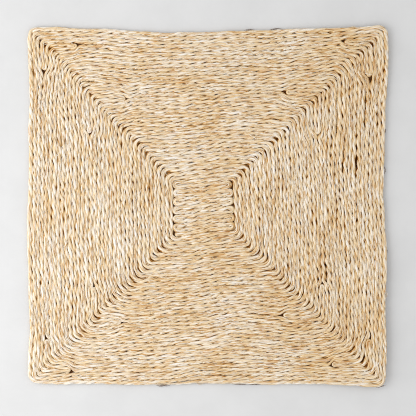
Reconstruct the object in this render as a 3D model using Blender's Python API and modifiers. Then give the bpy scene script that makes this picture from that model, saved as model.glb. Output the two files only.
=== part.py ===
"""A woven placemat: one thick, flat, near-square mat of twisted cord.

Units are metres and +Z is up. The origin is the middle of the underside, so the mat
lies on z = 0. +X runs to the right and +Y away from the reader, in plan. The mat is
one slab as thick as one cord. Its four sides bow in and out a little, as hand-wound
ones do, and its corners and rims are rounded.
"""

import bmesh
import bpy
from math import cos, pi, sin

NAME = "woven_placemat"

# Driving sizes
WIDTH = 0.3810  # between the straight lines that the left and right sides follow, along X
DEPTH = 0.3786  # the same between the front and back sides, along Y
THICKNESS = 0.0046  # one two-ply cord
CORNER_RADIUS = 0.0078  # the bend of the outermost cord, in plan
RIM_RADIUS = 0.0016  # rounding of the upper and lower rim
SIDE_STEPS = 26  # steps of the outline along each side
CORNER_STEPS = 6  # steps round each corner
RIM_SEGMENTS = 3

# The bow of each side: how far it stands out (+) or in (-) from its straight line.
# Rows run anticlockwise, as seen from above: along is the distance from the middle of
# the side, positive in that sense, and bow is in the same units. Columns: along, bow
RIGHT_BOW = (
    (-0.178, -0.0004),
    (-0.145, 0.0002),
    (-0.105, 0.0000),
    (-0.055, 0.0009),
    (-0.020, -0.0008),
    (0.018, -0.0021),
    (0.060, -0.0011),
    (0.095, -0.0002),
    (0.132, 0.0013),
    (0.172, 0.0020),
)
BACK_BOW = (
    (-0.180, 0.0031),
    (-0.150, 0.0023),
    (-0.118, 0.0010),
    (-0.078, 0.0005),
    (-0.042, -0.0006),
    (0.000, -0.0024),
    (0.045, -0.0030),
    (0.080, -0.0012),
    (0.112, 0.0009),
    (0.172, 0.0023),
)
LEFT_BOW = (
    (-0.172, 0.0003),
    (-0.120, -0.0012),
    (-0.066, -0.0003),
    (-0.002, 0.0005),
    (0.062, 0.0009),
    (0.100, 0.0002),
    (0.138, -0.0015),
    (0.170, -0.0002),
)
FRONT_BOW = (
    (-0.176, -0.0016),
    (-0.130, -0.0006),
    (-0.088, 0.0006),
    (-0.048, 0.0006),
    (0.000, -0.0004),
    (0.060, -0.0004),
    (0.118, -0.0005),
    (0.155, 0.0006),
    (0.180, 0.0018),
)


def bow_at(rows, along):
    """The bow at a distance along a side, eased smoothly from row to row."""
    if along <= rows[0][0]:
        return rows[0][1]
    for (start, low), (end, high) in zip(rows, rows[1:]):
        if along <= end:
            share = (along - start) / (end - start)
            return low + (high - low) * share * share * (3 - 2 * share)
    return rows[-1][1]


def side_points(rows, length, offset, turn):
    """Points of one side between its two corners, anticlockwise. turn is the number of
    quarter turns from the right-hand side, which runs along +Y at x = offset."""
    reach = length / 2 - CORNER_RADIUS
    points = []
    for step in range(SIDE_STEPS + 1):
        along = -reach + 2 * reach * step / SIDE_STEPS
        x, y = offset + bow_at(rows, along), along
        for _ in range(turn):
            x, y = -y, x
        points.append((x, y))
    return points


def corner_points(last, first, start_angle):
    """A quarter bend from the end of one side to the start of the next one."""
    # the bend is an ellipse quarter whose two ends meet the sides' own ends
    if int(round(start_angle / (pi / 2))) % 2 == 0:  # from a Y-going side to an X-going one
        centre = (first[0], last[1])
        reach = (abs(last[0] - first[0]), abs(first[1] - last[1]))
    else:
        centre = (last[0], first[1])
        reach = (abs(first[0] - last[0]), abs(last[1] - first[1]))
    return [
        (
            centre[0] + reach[0] * cos(start_angle + pi / 2 * step / CORNER_STEPS),
            centre[1] + reach[1] * sin(start_angle + pi / 2 * step / CORNER_STEPS),
        )
        for step in range(1, CORNER_STEPS)
    ]


def outline():
    """The mat's outline in plan, anticlockwise from the front end of the right side."""
    sides = [
        side_points(RIGHT_BOW, DEPTH, WIDTH / 2, 0),
        side_points(BACK_BOW, WIDTH, DEPTH / 2, 1),
        side_points(LEFT_BOW, DEPTH, WIDTH / 2, 2),
        side_points(FRONT_BOW, WIDTH, DEPTH / 2, 3),
    ]
    points = []
    for turn, side in enumerate(sides):
        following = sides[(turn + 1) % 4]
        points += side + corner_points(side[-1], following[0], turn * pi / 2)
    # the outline is centred, so that the origin is the middle of its box
    mid_x = (max(p[0] for p in points) + min(p[0] for p in points)) / 2
    mid_y = (max(p[1] for p in points) + min(p[1] for p in points)) / 2
    return [(x - mid_x, y - mid_y) for x, y in points]


def straw_material():
    material = bpy.data.materials.new("straw_cord")
    material.use_nodes = True
    shader = material.node_tree.nodes["Principled BSDF"]
    shader.inputs["Base Color"].default_value = (0.72, 0.55, 0.35, 1.0)
    shader.inputs["Roughness"].default_value = 0.75
    shader.inputs["Metallic"].default_value = 0.0
    material.diffuse_color = (0.72, 0.55, 0.35, 1.0)
    return material


def build_mat(collection):
    """The slab: its outline as a filled flat curve, extruded, then rounded at its rims."""
    points = outline()
    curve = bpy.data.curves.new("mat_outline", "CURVE")
    curve.dimensions = "2D"
    curve.fill_mode = "BOTH"
    curve.extrude = THICKNESS / 2
    spline = curve.splines.new("POLY")
    spline.points.add(len(points) - 1)
    for point, (x, y) in zip(spline.points, points):
        point.co = (x, y, 0.0, 1.0)
    spline.use_cyclic_u = True
    guide = bpy.data.objects.new("mat_outline", curve)
    guide.location = (0.0, 0.0, THICKNESS / 2)
    bpy.context.scene.collection.objects.link(guide)
    bpy.context.view_layer.update()

    graph = bpy.context.evaluated_depsgraph_get()
    mesh = bpy.data.meshes.new_from_object(guide.evaluated_get(graph))
    mesh.name = "mat"
    place = guide.matrix_world.copy()
    bpy.data.objects.remove(guide, do_unlink=True)

    body = bmesh.new()
    body.from_mesh(mesh)
    bmesh.ops.remove_doubles(body, verts=body.verts, dist=0.00001)
    bmesh.ops.dissolve_limit(
        body, angle_limit=0.01, verts=body.verts, edges=body.edges
    )
    bmesh.ops.recalc_face_normals(body, faces=body.faces)
    body.to_mesh(mesh)
    body.free()

    mat = bpy.data.objects.new("mat", mesh)
    mat.matrix_world = place
    collection.objects.link(mat)
    mesh.materials.clear()
    mesh.materials.append(straw_material())

    rim = mat.modifiers.new("rim", "BEVEL")
    rim.width = RIM_RADIUS
    rim.segments = RIM_SEGMENTS
    rim.limit_method = "ANGLE"
    rim.angle_limit = 1.0
    rim.use_clamp_overlap = True
    mesh.shade_smooth()
    mesh.set_sharp_from_angle(angle=0.7)
    return mat


def main():
    for old in list(bpy.data.objects):
        bpy.data.objects.remove(old, do_unlink=True)
    collection = bpy.data.collections.new(NAME)
    bpy.context.scene.collection.children.link(collection)
    build_mat(collection)


main()
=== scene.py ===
import math

import bpy
import numpy as np
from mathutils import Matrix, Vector
from mathutils.kdtree import KDTree


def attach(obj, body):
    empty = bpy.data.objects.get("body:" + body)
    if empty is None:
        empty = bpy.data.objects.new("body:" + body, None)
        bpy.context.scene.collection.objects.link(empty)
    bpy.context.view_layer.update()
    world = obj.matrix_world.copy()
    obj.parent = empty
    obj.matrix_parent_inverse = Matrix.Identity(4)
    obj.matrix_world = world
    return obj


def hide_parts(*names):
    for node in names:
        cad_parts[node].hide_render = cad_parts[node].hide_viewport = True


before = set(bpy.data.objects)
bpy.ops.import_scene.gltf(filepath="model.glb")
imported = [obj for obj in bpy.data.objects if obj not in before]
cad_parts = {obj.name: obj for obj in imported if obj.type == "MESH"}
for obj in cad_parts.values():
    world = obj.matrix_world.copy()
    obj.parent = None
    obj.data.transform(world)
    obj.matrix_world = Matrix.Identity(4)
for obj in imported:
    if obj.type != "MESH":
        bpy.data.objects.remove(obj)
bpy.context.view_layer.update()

# A placemat made of one long two-ply cord. The cord is laid to and fro in an oblong
# core, then wound clockwise round and round it in mitred squares. The winding's plan
# is worked out in the photograph's pixels (x right, y down) and turned into metres by
# to_metres(). A lane is the line that one run of cord follows along a side.

SEED = 26
PIXEL = 0.381 / 357.0  # metres a pixel
NOMINAL_CENTRE = (207.0, 206.9)  # pixels: the middle of the four straight side lines
BOX_SHIFT = (0.00055, 0.00065)  # metres from that middle to the middle of the mat's box
HALF_W, HALF_D = 0.381 / 2, 0.3786 / 2

LAY = 0.0224  # one full twist of the two plies
PLY_RADIUS = 0.00145
PLY_OFFSET = 0.00095  # of a ply's middle from the cord's middle
CORD_MIDDLE = 0.00232  # height of the cord's middle
LOOSE_STRIPS = 2800
STRIP_TURN = 1.0  # share of the cord's twist that the strips in a ply are turned back by
CAP_REACH = 0.00132  # height of the strips that bridge the groove on top
CREST = 0.00188  # the plies' crests are pressed flat above this
FILL_REACH = 0.00240  # how far the cord spreads sideways between its neighbours
FILL_HIGH = math.radians(33)  # where a ply's crest is at the side
FILL_LOW = math.radians(-24)  # where the groove is at the side: a small dark pocket
FILL_SWAY = math.radians(12)
FILL_SPREAD = math.radians(32)
FOOT_ANGLE = math.radians(-31)  # of its low fibres where its neighbours stand apart
FOOT_SPREAD = math.radians(21)



def ease(x):
    x = np.clip(x, 0.0, 1.0)
    return x * x * (3.0 - 2.0 * x)


# How far each side bows out (+) or in (-), as on the flat solid. Columns: distance
# along the side from its middle, running anticlockwise, and bow, both in metres
RIGHT_BOW = (
    (-0.178, -0.0004), (-0.145, 0.0002), (-0.105, 0.0000), (-0.055, 0.0009),
    (-0.020, -0.0008), (0.018, -0.0021), (0.060, -0.0011), (0.095, -0.0002),
    (0.132, 0.0013), (0.172, 0.0020),
)
BACK_BOW = (
    (-0.180, 0.0031), (-0.150, 0.0023), (-0.118, 0.0010), (-0.078, 0.0005),
    (-0.042, -0.0006), (0.000, -0.0024), (0.045, -0.0030), (0.080, -0.0012),
    (0.112, 0.0009), (0.172, 0.0023),
)
LEFT_BOW = (
    (-0.172, 0.0003), (-0.120, -0.0012), (-0.066, -0.0003), (-0.002, 0.0005),
    (0.062, 0.0009), (0.100, 0.0002), (0.138, -0.0015), (0.170, -0.0002),
)
FRONT_BOW = (
    (-0.176, -0.0016), (-0.130, -0.0006), (-0.088, 0.0006), (-0.048, 0.0006),
    (0.000, -0.0004), (0.060, -0.0004), (0.118, -0.0005), (0.155, 0.0006),
    (0.180, 0.0018),
)


def bow_at(rows, along):
    rows = np.array(rows)
    x = np.clip(along, rows[0, 0], rows[-1, 0])
    i = np.clip(np.searchsorted(rows[:, 0], x, side="right") - 1, 0, len(rows) - 2)
    share = (x - rows[i, 0]) / (rows[i + 1, 0] - rows[i, 0])
    return rows[i, 1] + (rows[i + 1, 1] - rows[i, 1]) * ease(share)


class Noise:
    """Smooth one-dimensional noise from -1 to 1, the same each run."""

    def __init__(self, seed):
        self.table = np.random.default_rng(SEED * 1000 + seed).uniform(-1, 1, 8192)

    def __call__(self, x):
        x = np.asarray(x, float)
        cell = np.floor(x).astype(np.int64)
        share = ease(x - cell)
        return self.table[cell % 8192] * (1 - share) + self.table[(cell + 1) % 8192] * share


def plane_noise(x, y, scale, seed):
    """Smooth two-dimensional noise from about -1 to 1."""
    table = np.random.default_rng(SEED * 77 + seed).uniform(-1, 1, (256, 256))
    x, y = np.asarray(x, float) / scale, np.asarray(y, float) / scale
    i, j = np.floor(x).astype(np.int64), np.floor(y).astype(np.int64)
    a, b = ease(x - i), ease(y - j)
    i, j, i1, j1 = i % 256, j % 256, (i + 1) % 256, (j + 1) % 256
    return (
        table[i, j] * (1 - a) * (1 - b) + table[i1, j] * a * (1 - b)
        + table[i, j1] * (1 - a) * b + table[i1, j1] * a * b
    )


# ---------------------------------------------------------------- the winding's plan
RINGS = {"T": 37, "R": 37, "B": 37, "L": 36}
CLOCKWISE = {"T": "R", "R": "B", "B": "L", "L": "T"}
PITCH = 4.08  # pixels from one run to the next
CORD_END_X = 152.0  # where the last run of the bottom side ends
END_TAPER = (10.0, 62.0)  # how far before and after that the runs close up


def inner_edge(side, t):
    """The core's edge, which the first run of each side lies against, in pixels."""
    t = np.asarray(t, float)
    if side == "T":
        return 184.4 - 4.1 * ease((t - 172) / 62)
    if side == "R":
        return 233.7 + 1.9 * ease((t - 184) / 48)
    if side == "B":
        return 237.2 - 6.4 * ease((t - 172) / 62)
    return 173.2 + 0.0 * t


def outer_line(side):
    x, y = NOMINAL_CENTRE
    return {
        "T": y - HALF_D / PIXEL, "R": x + HALF_W / PIXEL,
        "B": y + HALF_D / PIXEL, "L": x - HALF_W / PIXEL,
    }[side]


def outer_bow(side, t):
    """The bow in pixels, positive outwards."""
    x, y = NOMINAL_CENTRE
    t = np.asarray(t, float)
    rows, along = {
        "T": (BACK_BOW, (x - t) * PIXEL), "R": (RIGHT_BOW, (y - t) * PIXEL),
        "B": (FRONT_BOW, (t - x) * PIXEL), "L": (LEFT_BOW, (t - y) * PIXEL),
    }[side]
    return bow_at(rows, along) / PIXEL


OUTWARD = {"T": -1.0, "R": 1.0, "B": 1.0, "L": -1.0}
# The way a lane's running coordinate grows when the side is walked clockwise
FORWARD = {"T": 1.0, "R": 1.0, "B": -1.0, "L": -1.0}

# Short rows that square the corners: the cord rounds a corner, turns back, rounds it
# again and turns back once more. Columns: side it comes from, ring there, where it
# turns on that side (along, across), and where it turns on the next side, in pixels
SHORT_ROWS = (
    ("R", 21, (285.5, 322.0), (284.6, 315.6)),
    ("B", 21, (119.5, 322.3), (288.5, 94.0)),
    ("L", 21, (132.0, 89.5), (123.8, 98.6)),
    ("T", 22, (287.6, 92.0), (132.5, 317.7)),
    ("R", 33, (340.5, 369.6), (333.0, 366.0)),
    ("B", 33, (69.5, 371.4), (340.8, 46.0)),
    ("L", 33, (69.0, 44.0), (75.5, 44.6)),
    ("T", 34, (345.0, 41.6), (76.0, 370.0)),
)


def gaps():
    """Each short row opens a gap for two more runs on both of its sides. Yields the side,
    the ring inside the gap, the place (along, across), the direction towards the corner,
    and the share of the gap that pushes inwards."""
    for side, ring, here, there in SHORT_ROWS:
        after = CLOCKWISE[side]
        following = ring + (1 if side == "L" else 0)
        inwards = 0.55 if ring < 30 else 0.8
        yield side, ring, here, FORWARD[side], inwards
        yield after, following - 1, there, -FORWARD[after], inwards


GAPS = tuple(gaps())
GAP = 2.0 * PITCH * 0.96
DRAWN = []  # how far each gap's lanes are drawn over, so that its turn is in its place


def opening(place, towards, t, rings_off):
    """1 between a short row's turn and its corner, 0 past the turn. The runs further off
    give way more gradually."""
    x = (np.asarray(t, float) - place) * towards
    near = 8.8 + 4.6 * rings_off
    return 0.80 * ease((x + 0.5 * near + 1.7) / near) + 0.20 * ease((x + 3.0) / (20.0 + rings_off))


def last_run(x):
    """How much of a full run the cord's last run is along the bottom side: it thins out
    towards its end."""
    before, after = END_TAPER
    return ease((np.asarray(x, float) - CORD_END_X + before) / (before + after))


def lane(side, ring, t):
    """Where the lane of this ring lies across its side, at t along it."""
    t = np.asarray(t, float)
    count, on_side = RINGS[side] + 0.0 * t, ring - 0.5 + 0.0 * t
    if side == "B":
        count = 36.0 + last_run(t)
        if ring == 37:
            on_side = 36.0 + 0.5 * last_run(t)
    share = on_side / count
    start = inner_edge(side, t)
    out = OUTWARD[side]
    place = start + (outer_line(side) - start) * share
    place = place + out * outer_bow(side, t) * share**3
    for gap_side, inside, at, towards, inwards in GAPS:
        if gap_side != side:
            continue
        if ring <= inside:
            h = opening(at[0], towards, t, inside - ring)
            place = place - out * GAP * inwards * h * math.exp(-(inside - ring) / 9.0)
        else:
            h = opening(at[0], towards, t, ring - inside - 1)
            fade = 1.0 - (ring - inside - 1) / max(RINGS[side] - inside, 1)
            place = place + out * GAP * (1 - inwards) * h * math.exp(
                -(ring - inside - 1) / 9.0
            ) * fade
    for (gap_side, inside, at, towards, inwards), over in zip(GAPS, DRAWN):
        if gap_side == side:
            near = over * np.exp(-(((t - at[0]) / 26.0) ** 2))
            if ring <= inside:
                place = place + near * math.exp(-(inside - ring) / 6.0)
            else:
                place = place + near * (1 - (ring - inside) / (RINGS[side] - inside + 1.0))
    x, y = (t, place) if side in "TB" else (place, t)
    grow = share * (1 - share) * 4
    much = 2.3 if side in "TB" else 1.25
    place = place + 0.75 * much * plane_noise(x, y, 34.0, 1 if side in "TB" else 2) * (0.2 + 0.8 * grow)
    place = place + 0.34 * much * plane_noise(x, y, 13.0, 3 if side in "TB" else 4) * (0.3 + 0.7 * grow)
    noise = LANE_NOISE[side]
    own = 0.50 * noise(t / 44.0 + ring * 37.3) + 0.42 * noise(t / 15.0 + ring * 53.7)
    own = own + 0.16 * noise(t / 6.0 + ring * 91.3)
    own = own * (1.05 if side in "TB" else 1.0)
    place = place + own * (0.25 + 0.75 * ease((abs(place - start) - 2) / 8))
    for slit_side, inside, a, b, width in SLITS:
        if slit_side == side:
            apart = ease((t - a) / 9.0) * ease((b - t) / 9.0) * width * 0.5
            if ring <= inside:
                place = place - out * apart * math.exp(-(inside - ring) / 2.5)
            else:
                place = place + out * apart * math.exp(-(ring - inside - 1) / 2.5)
    return place


# Places where neighbouring runs stand apart. Columns: side, ring inside the slit, where
# it starts and ends, and its width in pixels
SLITS = (
    ("T", 1, 176, 207, 0.9), ("B", 1, 184, 208, 0.8), ("B", 23, 294, 332, 0.9),
    ("L", 8, 168, 196, 0.9), ("L", 24, 104, 132, 1.0), ("R", 31, 50, 74, 1.0),
    ("R", 13, 116, 150, 0.9), ("L", 21, 250, 282, 0.9), ("L", 19, 262, 300, 0.8),
    ("R", 16, 262, 290, 1.0), ("R", 33, 44, 80, 1.9), ("R", 34, 40, 72, 1.2),
    ("R", 27, 150, 180, 0.8), ("L", 30, 200, 226, 0.8), ("R", 33, 228, 262, 0.7),
    ("R", 32, 88, 132, 1.8), ("R", 30, 150, 178, 1.2), ("L", 13, 210, 236, 0.7),
    ("R", 23, 96, 150, 1.5), ("R", 25, 90, 140, 1.6), ("R", 26, 92, 142, 1.3),
    ("B", 28, 222, 256, -1.1), ("B", 30, 218, 254, -1.1), ("B", 10, 216, 260, -1.0),
)
LANE_NOISE = {side: Noise(600 + k) for k, side in enumerate("TRBL")}


for gap_side, inside, at, towards, inwards in GAPS:
    hole = at[0] - 2.5 * towards
    found = 0.5 * float(lane(gap_side, inside, hole) + lane(gap_side, inside + 1, hole))
    DRAWN.append(float(np.clip(at[1] - found, -3.0, 3.0)))


def between(side, inside, share, turn_at):
    """A lane that lies between two rings, for a short row. Its two runs draw together at
    their turn."""

    def run(t):
        near = np.exp(-(((np.asarray(t, float) - turn_at) / 6.0) ** 2))
        held = share + (0.5 - share) * 0.42 * near
        return lane(side, inside, t) * (1 - held) + lane(side, inside + 1, t) * held

    return run


def ring_lane(side, ring):
    return lambda t: lane(side, ring, t)


def point(side, t, across):
    return (t, across) if side in "TB" else (across, t)


def meeting(side_a, lane_a, side_b, lane_b):
    """Where two lanes on neighbouring sides cross: their running coordinates."""
    ta = outer_line(side_b) * 0.5 + NOMINAL_CENTRE[0] * 0.5
    tb = outer_line(side_a) * 0.5 + NOMINAL_CENTRE[1] * 0.5
    for _ in range(14):
        tb = 0.5 * tb + 0.5 * float(lane_a(ta))
        ta = 0.5 * ta + 0.5 * float(lane_b(tb))
    return ta, float(lane_a(ta))


class Radii:
    """The bend of each corner, in pixels. It grows from turn to turn as the turns nest
    against each other, until one is pulled tight again."""

    def __init__(self, seed, start, low, high):
        self.rng = np.random.default_rng(SEED * 31 + seed)
        self.value, self.low, self.high = start, low, high

    def __call__(self):
        now = self.value
        share = (now - self.low) / (self.high - self.low)
        if self.rng.random() < 0.10 + 0.70 * share:
            self.value = now - self.rng.uniform(0.3, 1.0) * min(now - self.low, 1.7)
        else:
            self.value = min(now + self.rng.uniform(0.1, 1.0) * 2.2, self.high)
        return now


RADII = {
    "L": Radii(1, 4.0, 3.8, 6.6), "T": Radii(2, 4.6, 4.4, 8.0),
    "R": Radii(3, 4.6, 4.4, 8.6), "B": Radii(4, 5.6, 5.6, 11.5),
}


def walk(points, side, lane_of, start, end, step=0.5):
    """Adds the points of a lane from start to end."""
    n = max(int(abs(end - start) / step), 1)
    t = np.linspace(start, end, n + 1)
    across = lane_of(t)
    points.append(np.column_stack((t, across) if side in "TB" else (across, t)))


def corner(points, side_a, lane_a, side_b, lane_b, radius, way=1):
    """Adds a bend from lane a to lane b, walked clockwise (way 1) or back (way -1), and
    returns where lane a is left and lane b is joined."""
    ta, tb = meeting(side_a, lane_a, side_b, lane_b)
    leave = ta - FORWARD[side_a] * radius * way
    join = tb + FORWARD[side_b] * radius * way
    p0 = np.array(point(side_a, leave, float(lane_a(leave))))
    p3 = np.array(point(side_b, join, float(lane_b(join))))
    corner_at = np.array(point(side_a, ta, float(lane_a(ta))))
    p1, p2 = p0 + (corner_at - p0) * 0.56, p3 + (corner_at - p3) * 0.56
    u = np.linspace(0, 1, 15)[:, None]
    bend = (1 - u) ** 3 * p0 + 3 * (1 - u) ** 2 * u * p1 + 3 * (1 - u) * u**2 * p2 + u**3 * p3
    return leave, join, bend


def hairpin(side, lane_a, lane_b, place, way):
    """A tight turn from lane a to lane b, whose far point is at place. way is the sign of
    the running coordinate on the way in."""
    base = place - way * PITCH * 0.45
    a, b = float(lane_a(base)), float(lane_b(base))
    middle, reach = (a + b) / 2, (a - b) / 2
    angle = np.linspace(0, math.pi, 15)
    t = base + way * PITCH * 0.45 * np.sin(angle)
    across = middle + reach * np.cos(angle)
    return base, np.column_stack((t, across) if side in "TB" else (across, t))


def core_path():
    """The core: runs laid to and fro, from the cord's start at the lower left to the turn
    at the upper left, after which the cord becomes the first run of the top side.
    Columns: height of the turn's middle at the left and at the right, in pixels, from
    the bottom up."""
    turns = (
        (None, 226.1), (227.6, 217.9), (219.0, 209.9), (210.2, 201.0),
        (201.7, 192.6), (193.2, 184.5), (184.5, None),
    )
    half = PITCH * 0.52
    points = []
    left_x = 173.2 + 1.5
    right_x = lambda y: float(inner_edge("R", y)) - 2.2 - 2.2 * float(ease((192.0 - y) / 6.0))
    angle = np.linspace(-math.pi / 2, math.pi / 2, 13)
    y_left = 234.3
    x_left = 174.6
    for left, right in turns:
        if left is not None:  # arrive from the right on the lower leg, turn upwards
            low, high = left + half, left - half
            run_from = points[-1][-1]
            n = int(abs(run_from[0] - (left_x + half)) / 0.5)
            u = np.linspace(0, 1, n)[:, None]
            end = np.array([left_x + half, low])
            run = run_from + (end - run_from) * u
            run[:, 1] = run_from[1] + (end[1] - run_from[1]) * ease(u[:, 0] * 0.9 + 0.05)
            points.append(run[1:])
            points.append(
                np.column_stack((left_x + half - half * np.cos(angle), left - half * np.sin(angle)))
            )
            x_left, y_left = left_x + half, high
        if right is not None:
            x_end = right_x(right) - half
            start = np.array([x_left, y_left])
            end = np.array([x_end, right + half])
            n = int(abs(end[0] - start[0]) / 0.5)
            u = np.linspace(0, 1, n)[:, None]
            run = start + (end - start) * u
            run[:, 1] = start[1] + (end[1] - start[1]) * ease(u[:, 0] * 0.9 + 0.05)
            points.append(run)
            points.append(
                np.column_stack((x_end + half * np.cos(angle), right - half * np.sin(angle)))
            )
    # its runs lie a little unevenly
    for run in points:
        x, y = run[:, 0], run[:, 1]
        between_ends = ease((x - 178) / 8) * ease((226 - x) / 8)
        run[:, 1] = y + (0.8 * plane_noise(x, y, 15.0, 61) + 0.5 * plane_noise(x, y, 6.0, 62)) * between_ends
    return points


def winding_path():
    """The whole cord as pieces of its line in plan, each with the number of its ring."""
    found = [(0, p) for p in core_path()]
    short = {(side, ring): (here, there) for side, ring, here, there in SHORT_ROWS}
    side, ring = "T", 1
    lane_now = ring_lane("T", 1)
    start = float(found[-1][1][-1][0]) + 1.0
    while True:
        after = CLOCKWISE[side]
        next_ring = ring + (1 if side == "L" else 0)
        pts = []
        if side == "B" and ring == RINGS["B"]:
            walk(pts, side, lane_now, start, CORD_END_X)
            found += [(ring, p) for p in pts]
            return found
        next_lane = ring_lane(after, next_ring)
        if (side, ring) in short:
            here, there = short[(side, ring)]
            first_b = between(after, next_ring - 1, 1 / 3, there[0])
            second_b = between(after, next_ring - 1, 2 / 3, there[0])
            second_a = between(side, ring, 1 / 3, here[0])
            third_a = between(side, ring, 2 / 3, here[0])
            leave, join, bend = corner(pts, side, lane_now, after, first_b, RADII[side]())
            walk(pts, side, lane_now, start, leave)
            pts.append(bend[1:-1])
            base, turn = hairpin(after, first_b, second_b, there[0], FORWARD[after])
            walk(pts, after, first_b, join, base)
            pts.append(turn[1:-1])
            leave, join, bend = corner(pts, after, second_b, side, second_a, RADII[side]() * 0.9, -1)
            walk(pts, after, second_b, base, leave)
            pts.append(bend[1:-1])
            base, turn = hairpin(side, second_a, third_a, here[0], -FORWARD[side])
            walk(pts, side, second_a, join, base)
            pts.append(turn[1:-1])
            leave, join, bend = corner(pts, side, third_a, after, next_lane, RADII[side]() * 0.8)
            walk(pts, side, third_a, base, leave)
            pts.append(bend[1:-1])
        else:
            radius = RADII[side]()
            from_rim = RINGS[after] - next_ring
            if from_rim < 3:
                radius = (7.8 if side == "B" else 7.2, 4.5, 3.6)[from_rim]
            leave, join, bend = corner(pts, side, lane_now, after, next_lane, radius)
            walk(pts, side, lane_now, start, leave)
            pts.append(bend[1:-1])
        found += [(ring, p) for p in pts]
        side, ring, lane_now, start = after, next_ring, next_lane, join


def to_metres(plan):
    return np.column_stack(
        (
            (plan[:, 0] - NOMINAL_CENTRE[0]) * PIXEL - BOX_SHIFT[0],
            (NOMINAL_CENTRE[1] - plan[:, 1]) * PIXEL - BOX_SHIFT[1],
        )
    )


def smoothed(values, reach):
    kernel = np.hanning(2 * reach + 3)[1:-1]
    kernel /= kernel.sum()
    padded = np.concatenate(
        [np.repeat(values[:1], reach, 0), values, np.repeat(values[-1:], reach, 0)]
    )
    return np.stack(
        [np.convolve(padded[:, i], kernel, "valid") for i in range(values.shape[1])], 1
    )


def cord_line():
    """The cord's middle line in plan, evenly stepped, and the ring at each point."""
    parts = winding_path()
    plan = np.concatenate([p for _, p in parts])
    rings = np.concatenate([np.full(len(p), r) for r, p in parts])
    keep = np.ones(len(plan), bool)
    keep[1:] = np.linalg.norm(np.diff(plan, axis=0), axis=1) > 1e-3
    plan, rings = plan[keep], rings[keep]
    length = np.concatenate([[0], np.cumsum(np.linalg.norm(np.diff(plan, axis=0), axis=1))])
    fine = np.arange(0, length[-1], 0.25)
    plan = np.stack([np.interp(fine, length, plan[:, i]) for i in (0, 1)], 1)
    rings = np.interp(fine, length, rings)
    plan = smoothed(plan, 4)
    # steps are longer where the cord runs straight
    heading = np.unwrap(np.arctan2(np.gradient(plan[:, 1]), np.gradient(plan[:, 0])))
    bend = np.abs(np.gradient(smoothed(heading[:, None], 3)[:, 0])) / 0.25
    spread = np.convolve(np.minimum(bend, 0.6), np.ones(9) / 9, "same")
    density = 1.0 / 1.6 + np.clip(spread / 0.16, 0, 1) * (1 / 0.85 - 1 / 1.6)
    count = np.concatenate([[0], np.cumsum(0.5 * (density[1:] + density[:-1]) * 0.25)])
    steps = np.linspace(0, count[-1], int(count[-1]) + 1)
    where = np.interp(steps, count, np.arange(len(plan)))
    index = np.arange(len(plan))
    plan = np.stack([np.interp(where, index, plan[:, i]) for i in (0, 1)], 1)
    return plan, np.interp(where, index, rings)


# ---------------------------------------------------------------------- the cord itself
def section():
    """The two plies' outline as angle and distance from the cord's middle. It starts and
    ends in a groove, so that the seam of the cord's map is hidden."""
    ply = np.array([-73, -54, -36, -18, 0, 18, 36, 54, 73], float)
    angles = np.radians(np.concatenate([[-90], ply, [90], ply + 180]))
    across = np.abs(np.cos(angles)) * PLY_OFFSET
    reach = across + np.sqrt(PLY_RADIUS**2 - (PLY_OFFSET * np.sin(angles)) ** 2)
    groove = np.isclose(np.abs(np.cos(angles)), 0, atol=1e-6)
    reach = np.where(groove, reach * 0.90, reach)
    return angles, reach


def table_height(x, y):
    """How far the mat's underside lies off the table: the right-hand edge lifts a little,
    most towards its lower corner."""
    right = ease((x - 290) / 98) * (
        0.14 + 0.86 * ease((y - 190) / 130) + 0.50 * ease((105 - y) / 80)
    )
    return 0.0041 * right + 0.0003 * (0.5 + 0.5 * plane_noise(x, y, 70.0, 9)) * ease(
        (np.hypot(x - 207, y - 207) - 60) / 100
    )


def neighbours(flat, s, ahead, left):
    """How far off the next run of cord lies on the left and on the right of each point,
    in metres, and which sides are open."""
    tree = KDTree(len(flat))
    for i, (x, y) in enumerate(flat):
        tree.insert((x, y, 0.0), i)
    tree.balance()
    gaps_found = np.full((len(flat), 2), np.nan)
    for i in range(len(flat)):
        x, y = flat[i]
        best = [99.0, 99.0]
        for place, j, _ in tree.find_range((x, y, 0.0), 0.0085):
            if abs(s[j] - s[i]) < 0.0065:
                continue
            dx, dy = place[0] - x, place[1] - y
            if abs(dx * ahead[i, 0] + dy * ahead[i, 1]) > 0.0013:
                continue
            off = dx * left[i, 0] + dy * left[i, 1]
            k = 0 if off > 0 else 1
            if abs(off) > 0.0018:
                best[k] = min(best[k], abs(off))
        for k in (0, 1):
            if best[k] < 99.0:
                gaps_found[i, k] = best[k]
    is_open = np.isnan(gaps_found)
    gaps_found = np.where(is_open, PITCH * PIXEL, gaps_found)
    return smoothed(gaps_found, 2), smoothed(is_open.astype(float), 2)


def eyes(x, y):
    """About 1 in the small open eye past the turn of each short row, 0 away from it. Some
    eyes are larger than the others and one is closed."""
    found = np.zeros(np.shape(x))
    for (side, inside, at, towards, inwards), size in zip(GAPS, EYE_SIZE):
        ex, ey = point(side, at[0] - 3.0 * towards, at[1])
        reach_x, reach_y = (3.0, 2.2) if side in "TB" else (2.2, 3.1)
        wide = 0.7 + 0.3 * size
        seen = np.exp(-(((x - ex) / (wide * reach_x)) ** 4) - ((y - ey) / (wide * reach_y)) ** 4)
        found = np.maximum(found, size * seen)
    return found


EYE_SIZE = (0.9, 0.8, 0.9, 0.8, 0.8, 0.8, 1.1, 0.0, 1.1, 0.7, 1.9, 1.0, 1.15, 0.8, 1.3, 1.6)


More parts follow.
